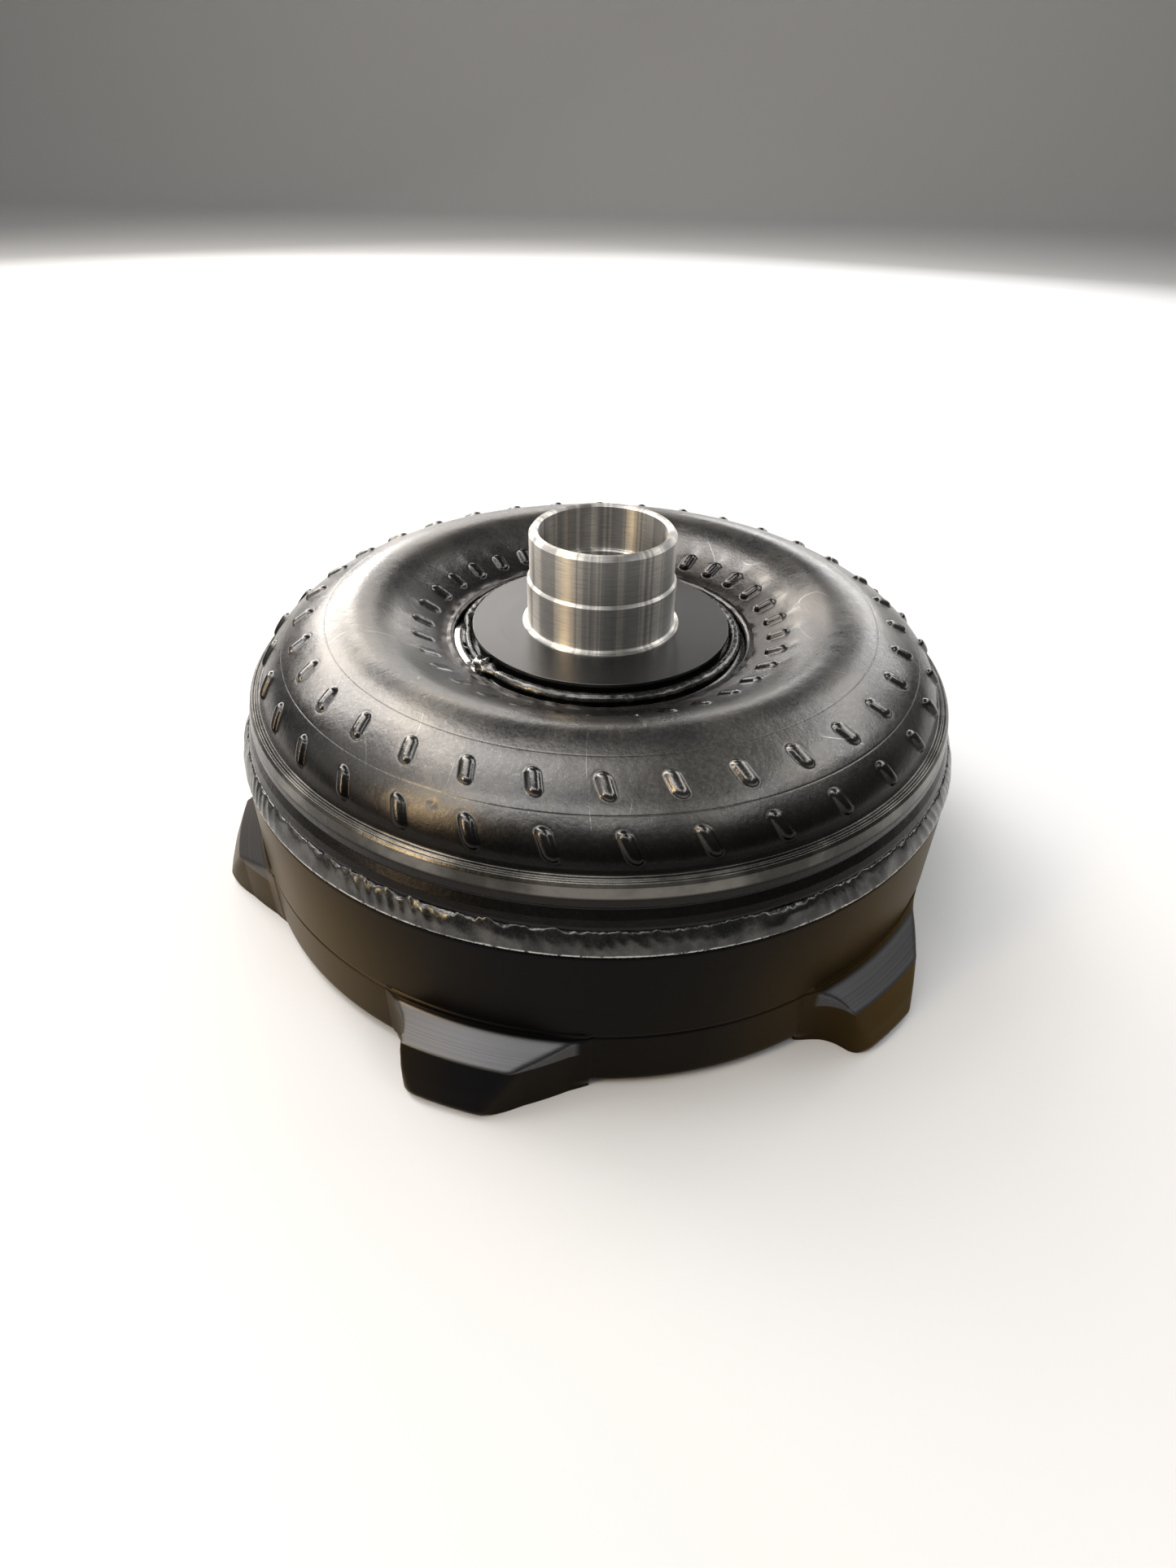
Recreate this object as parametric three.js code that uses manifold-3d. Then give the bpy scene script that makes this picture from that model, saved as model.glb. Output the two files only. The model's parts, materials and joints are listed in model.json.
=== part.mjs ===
// Automotive torque converter with a lock-up clutch, as an assembly of separate pieces.
// Millimetres, +Z up along the axis. The origin is on the axis, in the plane of the six lug
// pads, so the converter stands on its lugs with the pump hub on top.
import * as THREE from 'three';
import { mergeVertices } from 'three/addons/utils/BufferGeometryUtils.js';
import Module from 'manifold-3d';

const wasm = await Module();
wasm.setup();

// Driving dimensions
const GAP = 0.3; // left between pieces that touch
const OUTER_STEPS = 36; // facets round the casings
const INNER_STEPS = 24; // facets round the pieces inside
const SMALL_STEPS = 16; // facets round bearings and small rings

const COVER_R = 129.4;
const COVER_TOP = 58;
const COVER_BORE_R = 122.8;
const GROOVE_Z = 23.8;
const FLOOR_UNDER = 10;
const FLOOR_TOP = 17.5;
const RIM_BOTTOM = 1; // the pads stand this much proud of the rim
const LUG_COUNT = 6;
const FIRST_LUG_DEG = 15;
const BOLT_CIRCLE_R = 131.5;
const LUG_HOLE_R = 4.25; // tapping size for M10
const LUG_HOLE_DEPTH = 14;

const PILOT_R = 21.6;
const PILOT_FACE = 0.8;
const SPIGOT_R = 12;

const HUB_BORE_R = 22;
const HUB_LEDGE_R = 20.4;
const HUB_LEDGE_Z = 110.8;
const HUB_UPPER_R = 25.2;
const HUB_LOWER_R = 26.1;
const HUB_STEP_Z = 110.2;
const HUB_TOP = 127;
const FLANGE_R = 45.8;
const FLANGE_TOP = 93.3;
const FLANGE_UNDER = 87.3;

const SHELL_BLADES = 34;
const TURBINE_BLADES = 31;
const STATOR_BLADES = 15;
const BLADE_THICKNESS = 1.2;

const SPRING_COUNT = 6;
const SPRING_ARC_R = 78;
const SPRING_Z = 31.6;
const SPRING_COIL_R = 5;
const SPRING_WIRE_R = 1.5;
const SPRING_SPAN_DEG = 38;
const WINDOW_SPAN_DEG = 44;
const PISTON_TABS = 8;
const PISTON_R = 116.4;

const RIVET_COUNT = 6;
const RIVET_CIRCLE_R = 46;
const RIVET_R = 3;
const ROLLER_COUNT = 8;
const ROLLER_R = 3.9;
const ROLLER_CIRCLE_R = 30.15;

const rad = THREE.MathUtils.degToRad;

// ---------------------------------------------------------------- solids

function signedVolume(points, triangles) {
  let volume = 0;
  const corner = [new THREE.Vector3(), new THREE.Vector3(), new THREE.Vector3()];
  for (let i = 0; i < triangles.length; i += 3) {
    corner.forEach((v, k) => v.fromArray(points, triangles[i + k] * 3));
    volume += corner[0].dot(corner[1].clone().cross(corner[2]));
  }
  return volume / 6;
}

// A closed three.js geometry as a Manifold solid, with its faces pointing out.
function toSolid(geometry) {
  const bare = geometry.clone();
  bare.deleteAttribute('normal');
  bare.deleteAttribute('uv');
  const merged = mergeVertices(bare, 1e-4);
  const points = merged.attributes.position.array;
  const index = merged.index.array;
  const triangles = [];
  for (let i = 0; i < index.length; i += 3) {
    const [a, b, c] = index.slice(i, i + 3);
    if (a !== b && b !== c && c !== a) triangles.push(a, b, c);
  }
  if (signedVolume(points, triangles) < 0) triangles.reverse();
  return new wasm.Manifold(new wasm.Mesh({
    numProp: 3,
    vertProperties: Float32Array.from(points),
    triVerts: Uint32Array.from(triangles),
  }));
}

function toGeometry(solid) {
  const mesh = solid.getMesh();
  const geometry = new THREE.BufferGeometry();
  const points = Float32Array.from(mesh.vertProperties);
  geometry.setAttribute('position', new THREE.BufferAttribute(points, 3));
  geometry.setIndex(Array.from(mesh.triVerts));
  geometry.computeVertexNormals();
  return geometry;
}

// A closed outline of [radius, height] points turned about the Z axis.
function revolve(outline, steps = INNER_STEPS) {
  const points = [...outline, outline[0]].map(([r, z]) => new THREE.Vector2(r, z));
  return toSolid(new THREE.LatheGeometry(points, steps).rotateX(Math.PI / 2));
}

// A closed outline of [x, y] points pushed from one height to another.
function prism(outline, bottom, top) {
  const shape = new THREE.Shape(outline.map(([x, y]) => new THREE.Vector2(x, y)));
  const options = { depth: top - bottom, bevelEnabled: false };
  return toSolid(new THREE.ExtrudeGeometry(shape, options).translate(0, 0, bottom));
}

function ring(inner, outer, bottom, top, steps = INNER_STEPS) {
  return revolve([[inner, bottom], [outer, bottom], [outer, top], [inner, top]], steps);
}

function rod(radius, bottom, top, x = 0, y = 0, steps = 12) {
  const geometry = new THREE.CylinderGeometry(radius, radius, top - bottom, steps);
  return toSolid(geometry.rotateX(Math.PI / 2).translate(x, y, (top + bottom) / 2));
}

const polar = (radius, degrees) => [radius * Math.cos(rad(degrees)), radius * Math.sin(rad(degrees))];

// Copies of the solid, evenly spaced round the axis.
function around(solid, count, first = 0) {
  return Array.from({ length: count }, (_, i) => solid.rotate([0, 0, first + (360 * i) / count]));
}

const joinAll = (base, tools) => tools.reduce((sum, tool) => sum.add(tool), base);
const cutAll = (base, tools) => tools.reduce((rest, tool) => rest.subtract(tool), base);

// Points along a smooth line through the given [radius, height] points.
function smooth(points, steps) {
  const curve = new THREE.SplineCurve(points.map(([r, z]) => new THREE.Vector2(r, z)));
  return curve.getPoints(steps).map((p) => [p.x, p.y]);
}

// Points on an arc about a centre, from one angle to another.
function arc(centreR, centreZ, radius, from, to, steps) {
  return Array.from({ length: steps + 1 }, (_, i) => {
    const angle = rad(from + ((to - from) * i) / steps);
    return [centreR + radius * Math.cos(angle), centreZ + radius * Math.sin(angle)];
  });
}

// ---------------------------------------------------------------- materials

function metal(color, roughness, metalness = 1) {
  return new THREE.MeshStandardMaterial({ color, roughness, metalness });
}

const finish = {
  blackPaint: metal(0x3a3836, 0.42, 0.6),
  coverBlack: metal(0x3b3733, 0.5, 0.7),
  weldBead: metal(0x5c5a58, 0.3),
  turnedSteel: metal(0xb9b4a8, 0.22),
  rawSteel: metal(0x8f8f92, 0.4),
  springSteel: metal(0x4f5358, 0.35),
  hardSteel: metal(0x9da0a3, 0.25),
  castAluminium: metal(0xb5b6b8, 0.5),
  lining: metal(0x4b3a28, 0.9, 0),
  seal: metal(0x26262a, 0.7, 0),
};

const converter = new THREE.Group();

function addPiece(name, solid, material) {
  const mesh = new THREE.Mesh(toGeometry(solid), material);
  mesh.name = name;
  converter.add(mesh);
}

// ---------------------------------------------------------------- casing

// Plan outline of one lug, in a frame whose X points out along the lug. The two flanks differ:
// the clockwise one is steep and the other is cut back at a shallow angle.
const LUG_PLAN = [
  [112, -20], [124, -30.5], [126.5, -28.7], [131.6, -23.2], [135.3, -21.6], [138.8, -21.1],
  [144, -17.6], [150, -9], [150, -0.5], [143.9, 8.1], [128.1, 28.7], [124.5, 33.5], [112, 24],
];
const LUG_SECTION = [
  [112, 0], [140.6, 0], ...arc(141.6, 3.4, 3.4, -80, -20, 2),
  [139.8, 17], [129.2, 23.4], [124, 20], [112, 6],
];

function frontCover() {
  const outline = [
    [0, FLOOR_UNDER], [102, 9], [110, RIM_BOTTOM], [125.4, RIM_BOTTOM],
    ...arc(125.4, 5, 4, -60, 0, 2), [COVER_R - 0.2, GROOVE_Z - 0.6],
    [COVER_R - 0.9, GROOVE_Z], [COVER_R, GROOVE_Z + 0.6], [COVER_R - 0.4, COVER_TOP],
    [COVER_BORE_R, COVER_TOP], [COVER_BORE_R, 49], [121.4, 48],
    ...arc(117.4, FLOOR_TOP + 4, 4, 0, -90, 2), [0, FLOOR_TOP],
  ];
  const lugs = around(prism(LUG_PLAN, -1, 30), LUG_COUNT, FIRST_LUG_DEG);
  const lugRing = revolve(LUG_SECTION, OUTER_STEPS);
  const holes = around(rod(LUG_HOLE_R, -1, LUG_HOLE_DEPTH, BOLT_CIRCLE_R), LUG_COUNT, FIRST_LUG_DEG);
  const socket = rod(SPIGOT_R + GAP, FLOOR_UNDER - 1, 14, 0, 0, SMALL_STEPS);
  const body = lugs.reduce((sum, lug) => sum.add(lugRing.intersect(lug)), revolve(outline, OUTER_STEPS));
  return cutAll(body, [...holes, socket]);
}

function crankPilot() {
  return revolve([
    [0, PILOT_FACE], [PILOT_R - 1.5, PILOT_FACE], [PILOT_R, PILOT_FACE + 1.5],
    [PILOT_R, FLOOR_UNDER - GAP], [SPIGOT_R, FLOOR_UNDER - GAP], [SPIGOT_R, 13.7], [0, 13.7],
  ], SMALL_STEPS);
}

function seamWeld() {
  return revolve([
    [123, 58.3], [129, 58.3], [129.3, 59.8], [128.6, 62.4], [126.4, 65.5], [125.8, 65.4],
  ], OUTER_STEPS);
}

// The stamped shell: a skirt that enters the cover, the rolled band, then the dome.
function impellerShell() {
  const bandOutside = [
    [122.4, 50], [122.4, COVER_TOP], [125.4, 65.5], [123.5, 71.4], [124.3, 73.8],
    [122.7, 79.2], [120.4, 79.6],
  ];
  const domeOutside = smooth([
    [119.2, 81.2], [116.6, 86.4], [112.2, 91.5], [104.1, 96.9], [95.5, 100.8],
    [85.1, 102.8], [74.8, 99.9], [63.3, 93], [56.1, 89],
  ], 7);
  const domeInside = smooth([
    [57, 85.8], [64.8, 90.2], [75.9, 96.7], [85, 99.5], [94.4, 97.6], [102.3, 94],
    [109.8, 89.1], [113.7, 84.8], [116.3, 80.2],
  ], 5);
  const bandInside = [[122, 66], [119.2, COVER_TOP], [119.2, 50]];
  const lip = [[52.9, 89], [52.9, 85.8]];
  return revolve([...bandOutside, ...domeOutside, ...lip, ...domeInside, ...bandInside], OUTER_STEPS);
}

function impellerHub() {
  return revolve([
    [HUB_LEDGE_R, FLANGE_UNDER], [FLANGE_R, FLANGE_UNDER], [FLANGE_R, FLANGE_TOP - 0.4],
    [FLANGE_R - 0.4, FLANGE_TOP], [28.6, FLANGE_TOP], [28.5, 94.3], [26.6, 95.2],
    [HUB_LOWER_R, 96.2], [HUB_LOWER_R, HUB_STEP_Z - 0.5], [HUB_UPPER_R, HUB_STEP_Z + 0.5],
    [HUB_UPPER_R, HUB_TOP - 1.2], [HUB_UPPER_R - 1.2, HUB_TOP], [HUB_BORE_R + 0.9, HUB_TOP],
    [HUB_BORE_R, HUB_TOP - 0.9], [HUB_BORE_R, HUB_LEDGE_Z], [HUB_LEDGE_R + 0.4, HUB_LEDGE_Z],
    [HUB_LEDGE_R, HUB_LEDGE_Z - 0.4],
  ], OUTER_STEPS);
}

function hubWeld() {
  return revolve([
    [FLANGE_R + GAP, 86.1], [52.6, 86.1], [52.6, 87.5], [49.7, 87.5], [49.3, 90.2],
    [FLANGE_R + GAP, 92],
  ], OUTER_STEPS);
}

// ---------------------------------------------------------------- blades

// Thin plate with a [radius, height] outline, leaned round the axis by lean(radius, height) degrees.
function blade(outline, lean) {
  const shape = new THREE.Shape(outline.map(([r, z]) => new THREE.Vector2(r, z)));
  const geometry = new THREE.ExtrudeGeometry(shape, { depth: BLADE_THICKNESS, bevelEnabled: false });
  const position = geometry.attributes.position;
  for (let i = 0; i < position.count; i += 1) {
    const [r, z] = [position.getX(i), position.getY(i)];
    const side = position.getZ(i) - BLADE_THICKNESS / 2;
    const angle = rad(lean(r, z));
    const [c, s] = [Math.cos(angle), Math.sin(angle)];
    position.setXYZ(i, r * c - side * s, r * s + side * c, z);
  }
  return toSolid(geometry);
}

// Blades leaned so that their tabs meet the three rows of bumps on the shell.
function impellerBlades() {
  const outline = [
    [57.4, 82], [74, 82.4], [86, 84.6], [97.4, 71.5], [117.2, 71.5], [111.6, 85],
    [85, 98.4], [67, 90.4],
  ];
  const lean = (r, z) => 3.78 + 0.0923 * (r - 63.3) + 0.1656 * (93 - z);
  const core = ring(80, 91, 83.8, 85, SHELL_BLADES);
  return joinAll(core, around(blade(outline, lean), SHELL_BLADES));
}

function turbineBlades() {
  const outline = [
    [58.6, 59], [74, 59.2], [86, 56.8], [97.4, 69.9], [113.8, 69.9], [107.2, 55.8],
    [85, 45.8], [67.6, 51.6],
  ];
  const lean = (r, z) => -0.19 * (r - 57) - 0.25 * (70 - z);
  const core = ring(80, 91, 56.4, 57.6, TURBINE_BLADES);
  return joinAll(core, around(blade(outline, lean), TURBINE_BLADES));
}

// Cast wheel: hub, outer shroud and blades with a rounded nose and a thin tail.
function statorWheel() {
  const hub = revolve([
    [44, 61.8], [50, 61.8], [50, 84.2], [44, 84.2],
    [44, 83.9], [45.8, 83.9], [45.8, 82.1], [44, 82.1],
  ]);
  const shroud = ring(72.2, 74, 61.6, 80.6);
  const section = [[-4.6, 63.8], [-2.2, 62.2], [0.8, 64], [4, 70], [7.2, 79.8], [0, 71.6]];
  const upright = prism(section, 49, 73.2).rotate([90, 0, 0]);
  return joinAll(hub.add(shroud), around(upright, STATOR_BLADES));
}

// ---------------------------------------------------------------- turbine and splines

function splineCutter(teeth, minor, major, bottom, top) {
  const outline = [];
  for (let i = 0; i < teeth; i += 1) {
    const step = 360 / teeth;
    [[minor, 0.08], [major, 0.28], [major, 0.62], [minor, 0.82]].forEach(([r, part]) => {
      outline.push(polar(r, (i + part) * step));
    });
  }
  return prism(outline, bottom, top);
}

const rivetHoles = () => around(rod(RIVET_R + GAP, 40, 70, RIVET_CIRCLE_R), RIVET_COUNT);

function turbineHub() {
  const body = revolve([
    [10, 23.4], [30.4, 23.4], [30.4, 27.6], [28.4, 27.6], [28.4, 30], [30.4, 30], [30.4, 46],
    [40.1, 46], [40.1, 50.1], [52, 50.1], [52, 55.7], [39.7, 55.7], [39.7, 58], [10, 58],
  ]);
  return cutAll(body, [splineCutter(24, 11.4, 12.6, 20, 60), ...rivetHoles()]);
}

function turbineShell() {
  const outside = smooth([
    [117.8, 69.9], [117.2, 61.3], [111.9, 51.8], [100.9, 44.2], [85, 41.1], [70, 44],
    [59.7, 49.7], [54.6, 54.8],
  ], 6);
  const inside = smooth([
    [56.6, 56.4], [61.1, 51.3], [70.8, 45.9], [85, 43.2], [100.1, 46.1], [110.3, 53.1],
    [115.2, 61.8], [115.8, 69.9],
  ], 6);
  const body = revolve([...outside, [53.2, 56], [40.1, 56], [40.1, 58], [54.4, 58], ...inside]);
  return cutAll(body, rivetHoles());
}

function turbineRivet() {
  const outline = [
    [0, 44.4], [4.9, 45], [4.9, 46.7], [RIVET_R, 46.7], [RIVET_R, 58.3], [4.9, 58.3],
    [4.9, 59.6], [0, 60.1],
  ];
  return revolve(outline, 8).translate([RIVET_CIRCLE_R, 0, 0]);
}

// ---------------------------------------------------------------- lock-up clutch and damper

function clutchPiston() {
  const body = revolve([
    [30.95, 23.3], [58, 23.3], [68, 19.5], [PISTON_R, 19.5], [PISTON_R, 36.4], [113.4, 36.4],
    [113.4, 22.5], [69.5, 22.5], [59.5, 26.3], [34, 26.3], [34, 35], [30.95, 35],
  ]);
  const notch = prism([[110, -5.4], [120, -5.4], [120, 5.4], [110, 5.4]], 31, 40);
  return cutAll(body, around(notch, PISTON_TABS));
}

function springWindow(bottom, top) {
  const half = WINDOW_SPAN_DEG / 2;
  const outer = Array.from({ length: 5 }, (_, i) => polar(SPRING_ARC_R + 7.8, half * (i / 2 - 1)));
  const inner = Array.from({ length: 4 }, (_, i) => polar(SPRING_ARC_R - 7.2, half * (1 - (2 * i) / 3)));
  return prism([...outer, ...inner], bottom, top);
}

function damperDrivePlate() {
  const tab = prism([[108, -4.6], [117.6, -4.6], [117.6, 4.6], [108, 4.6]], 32.8, 35.2);
  const plate = joinAll(ring(66.5, 112.6, 32.8, 35.2), around(tab, PISTON_TABS));
  return cutAll(plate, around(springWindow(30, 38), SPRING_COUNT));
}

function damperDrivenPlate() {
  const plate = revolve([
    [40.5, 47], [52.6, 47], [57.5, 28.2], [91, 28.2], [91, 30.6], [59.3, 30.6],
    [54.3, 49.8], [40.5, 49.8],
  ]);
  return cutAll(plate, [...around(springWindow(26, 33), SPRING_COUNT), ...rivetHoles()]);
}

// A coil wound round an arc of the spring circle.
class ArcCoil extends THREE.Curve {
  getPoint(t, target = new THREE.Vector3()) {
    const turn = 2 * Math.PI * 6.5 * t;
    const r = SPRING_ARC_R + SPRING_COIL_R * Math.cos(turn);
    const [x, y] = polar(r, (t - 0.5) * SPRING_SPAN_DEG);
    return target.set(x, y, SPRING_Z + SPRING_COIL_R * Math.sin(turn));
  }
}

function damperSpring() {
  const section = new THREE.Shape();
  for (let i = 0; i < 4; i += 1) {
    const [x, y] = polar(SPRING_WIRE_R, i * 90);
    if (i === 0) section.moveTo(x, y);
    else section.lineTo(x, y);
  }
  return toSolid(new THREE.ExtrudeGeometry(section, { steps: 28, extrudePath: new ArcCoil() }));
}

// ---------------------------------------------------------------- one-way clutch

function clutchOuterRace() {
  const ramp = rod(5.4, 60, 90, ...polar(ROLLER_CIRCLE_R + 0.6, 5));
  return cutAll(ring(34.5, 43.7, 65, 79.5), around(ramp, ROLLER_COUNT));
}

function clutchInnerRace() {
  return ring(15, 26, 63.2, 81.8).subtract(splineCutter(24, 16.6, 18, 60, 90));
}

function rollerCage() {
  const pocket = rod(ROLLER_R + 0.4, 66.6, 77.9, ROLLER_CIRCLE_R);
  return cutAll(ring(27.6, 32.9, 65, 79.5), around(pocket, ROLLER_COUNT));
}

// ---------------------------------------------------------------- thrust bearings

// Lower race, cage with its needles, and upper race between two heights.
function addThrustBearing(place, inner, outer, bottom, top) {
  const raceHeight = (top - bottom - 2 * GAP) * 0.27;
  const needleR = (top - bottom - 2 * GAP) * 0.23;
  const middle = (bottom + top) / 2;
  const length = outer - inner - 2.4;
  const needle = toSolid(
    new THREE.CylinderGeometry(needleR, needleR, length, 5)
      .rotateZ(Math.PI / 2)
      .translate((inner + outer) / 2, 0, middle));
  const cage = joinAll(
    ring(inner + 0.4, outer - 0.4, middle - 0.35, middle + 0.35, SMALL_STEPS), around(needle, 6));
  const race = (low, high) => ring(inner, outer, low, high, SMALL_STEPS);
  addPiece(`${place}_bearing_lower_race`, race(bottom, bottom + raceHeight), finish.hardSteel);
  addPiece(`${place}_bearing_needle_cage`, cage, finish.hardSteel);
  addPiece(`${place}_bearing_upper_race`, race(top - raceHeight, top), finish.hardSteel);
}

function statorSnapRing() {
  const gap = prism([[38, -2.5], [50, -2.5], [50, 2.5], [38, 2.5]], 80, 86);
  return ring(41.6, 45.3, 82.4, 83.6).subtract(gap);
}

// ---------------------------------------------------------------- assembly

addPiece('front_cover', frontCover(), finish.coverBlack);
addPiece('crank_pilot', crankPilot(), finish.turnedSteel);
addPiece('seam_weld', seamWeld(), finish.weldBead);
addPiece('impeller_shell', impellerShell(), finish.blackPaint);
addPiece('impeller_hub', impellerHub(), finish.turnedSteel);
addPiece('hub_weld', hubWeld(), finish.weldBead);
addPiece('impeller_blades', impellerBlades(), finish.rawSteel);

addPiece('clutch_piston', clutchPiston(), finish.rawSteel);
addPiece('friction_lining', ring(92, 113, FLOOR_TOP + GAP, 19.2), finish.lining);
addPiece('piston_seal_ring', ring(28.7, 30.5, 27.9, 29.7), finish.seal);
addPiece('damper_drive_plate', damperDrivePlate(), finish.rawSteel);
addPiece('damper_driven_plate', damperDrivenPlate(), finish.rawSteel);
around(damperSpring(), SPRING_COUNT).forEach((spring, i) => {
  addPiece(`damper_spring_${i + 1}`, spring, finish.springSteel);
});

addPiece('turbine_hub', turbineHub(), finish.hardSteel);
addPiece('turbine_shell', turbineShell(), finish.rawSteel);
addPiece('turbine_blades', turbineBlades(), finish.rawSteel);
around(turbineRivet(), RIVET_COUNT).forEach((rivet, i) => {
  addPiece(`turbine_rivet_${i + 1}`, rivet, finish.rawSteel);
});

addPiece('stator_wheel', statorWheel(), finish.castAluminium);
addPiece('clutch_outer_race', clutchOuterRace(), finish.hardSteel);
addPiece('clutch_inner_race', clutchInnerRace(), finish.hardSteel);
addPiece('roller_cage', rollerCage(), finish.springSteel);
around(rod(ROLLER_R, 67, 77.5, ROLLER_CIRCLE_R), ROLLER_COUNT).forEach((roller, i) => {
  addPiece(`clutch_roller_${i + 1}`, roller, finish.hardSteel);
});
addPiece('stator_front_cap', ring(26.6, 43.7, 62.4, 64.7), finish.castAluminium);
addPiece('stator_rear_cap', ring(26.6, 43.7, 79.8, 82), finish.castAluminium);
addPiece('stator_snap_ring', statorSnapRing(), finish.springSteel);

addThrustBearing('front', 15, 27, FLOOR_TOP + GAP, 23.1);
addThrustBearing('middle', 22, 37, 58.3, 62.1);
addThrustBearing('rear', 27, 40, 82.5, 87);

export default converter;
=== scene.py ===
"""Torque converter: the looks of the welded housing and of the pieces inside it."""

import json
import math

import bpy
import numpy as np
from mathutils import Matrix, Vector


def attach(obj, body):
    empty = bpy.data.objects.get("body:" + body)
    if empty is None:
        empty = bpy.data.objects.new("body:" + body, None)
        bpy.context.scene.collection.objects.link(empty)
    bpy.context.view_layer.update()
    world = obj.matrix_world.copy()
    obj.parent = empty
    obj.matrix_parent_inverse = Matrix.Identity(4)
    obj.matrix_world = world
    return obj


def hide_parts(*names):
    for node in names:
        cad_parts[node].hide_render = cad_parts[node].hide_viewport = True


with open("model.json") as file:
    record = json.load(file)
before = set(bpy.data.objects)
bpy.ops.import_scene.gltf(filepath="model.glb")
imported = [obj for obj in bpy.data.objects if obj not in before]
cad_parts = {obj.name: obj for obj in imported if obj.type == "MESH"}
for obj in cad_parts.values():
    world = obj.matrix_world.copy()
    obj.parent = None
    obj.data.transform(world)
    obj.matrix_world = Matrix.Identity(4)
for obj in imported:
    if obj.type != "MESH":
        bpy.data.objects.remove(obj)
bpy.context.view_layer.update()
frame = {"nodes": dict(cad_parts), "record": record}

MM = 0.001

# ---------------------------------------------------------------- camera

CAMERA_PLACE = Vector((0, -290.0, 239.8)) * MM
CAMERA_PITCH = math.radians(37.37)  # below the horizon
CAMERA_YAW = math.radians(-0.62)
CAMERA_ROLL = math.radians(1.33)
CAMERA_LENS = 20.36
CAMERA_SENSOR = 36
CAMERA_CLIP = 0.01


def make_camera():
    flat = math.cos(CAMERA_PITCH)
    ahead = Vector(
        (math.sin(CAMERA_YAW) * flat, math.cos(CAMERA_YAW) * flat, -math.sin(CAMERA_PITCH))
    )
    level = ahead.cross(Vector((0, 0, 1))).normalized()
    upright = level.cross(ahead)
    right = math.cos(CAMERA_ROLL) * level + math.sin(CAMERA_ROLL) * upright
    up = math.cos(CAMERA_ROLL) * upright - math.sin(CAMERA_ROLL) * level
    data = bpy.data.cameras.new("camera")
    data.lens = CAMERA_LENS
    data.sensor_width = CAMERA_SENSOR
    data.clip_start = CAMERA_CLIP
    camera = bpy.data.objects.new("camera", data)
    turn = Matrix((right, up, -ahead)).transposed().to_4x4()
    camera.matrix_world = Matrix.Translation(CAMERA_PLACE) @ turn
    bpy.context.scene.collection.objects.link(camera)
    bpy.context.scene.camera = camera


make_camera()

# ---------------------------------------------------------------- mesh helpers

CORNER_SHARE = 0.46  # the most of a side that one rounded corner may use
SUPPORT_SHARE = 0.03  # how far from the arc its support points lie


def arc_corner(before, here, after, radius, steps):
    """Points of a true arc that rounds the corner at here, with a support point on each side."""
    back, ahead = before - here, after - here
    back_length, ahead_length = np.linalg.norm(back), np.linalg.norm(ahead)
    back, ahead = back / back_length, ahead / ahead_length
    half = math.acos(np.clip(back @ ahead, -1, 1)) / 2
    cut = min(radius / math.tan(half), CORNER_SHARE * back_length, CORNER_SHARE * ahead_length)
    middle = (back + ahead) / np.linalg.norm(back + ahead)
    centre = here + middle * cut / math.cos(half)
    start, end = here + back * cut - centre, here + ahead * cut - centre
    sweep = math.pi - 2 * half
    support = SUPPORT_SHARE * min(back_length, ahead_length)
    line = [here + back * (cut + support)]
    for i in range(steps + 1):
        t = i / steps
        swing = math.sin((1 - t) * sweep) * start + math.sin(t * sweep) * end
        line.append(centre + swing / math.sin(sweep))
    return line + [here + ahead * (cut + support)]


def rounded(points, closed=False, steps=5):
    """A polyline in which a point's third value, where it has one, is its corner radius."""
    line = []
    flat = [np.array(p[:2], float) for p in points]
    for i, p in enumerate(points):
        at_end = not closed and i in (0, len(points) - 1)
        if len(p) < 3 or at_end:
            line.append(flat[i])
        else:
            line += arc_corner(flat[i - 1], flat[i], flat[(i + 1) % len(flat)], p[2], steps)
    return np.array(line)


def curve(points, step):
    """A smooth open line through the points, with a point about every step."""
    p = np.array(points, float)
    p = np.vstack([2 * p[0] - p[1], p, 2 * p[-1] - p[-2]])
    line = []
    for a, b, c, d in zip(p, p[1:], p[2:], p[3:]):
        count = max(1, round(np.linalg.norm(c - b) / step))
        for t in np.arange(count) / count:
            line.append(
                0.5 * (2 * b + (c - a) * t + (2 * a - 5 * b + 4 * c - d) * t**2
                       + (3 * b - a - 3 * c + d) * t**3)
            )
    return np.array(line + [p[-2]])


def smoothstep(x):
    x = np.clip(x, 0, 1)
    return x * x * (3 - 2 * x)


def soft_min(a, b, reach):
    """The smaller of the two, blended where they are closer than reach."""
    overlap = np.maximum(reach - np.abs(a - b), 0) / reach
    return np.minimum(a, b) - overlap**2 * reach / 4


def soft_max(a, b, reach):
    return -soft_min(-a, -b, reach)


def around(grid_r, grid_z, angles):
    """Radius and height grids, rows by columns, as points at the columns' angles."""
    shape = np.broadcast_shapes(grid_r.shape, grid_z.shape, angles.shape)
    r, z, a = (np.broadcast_to(g, shape) for g in (grid_r, grid_z, angles))
    return np.stack([r * np.cos(a), r * np.sin(a), z], -1)


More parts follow.
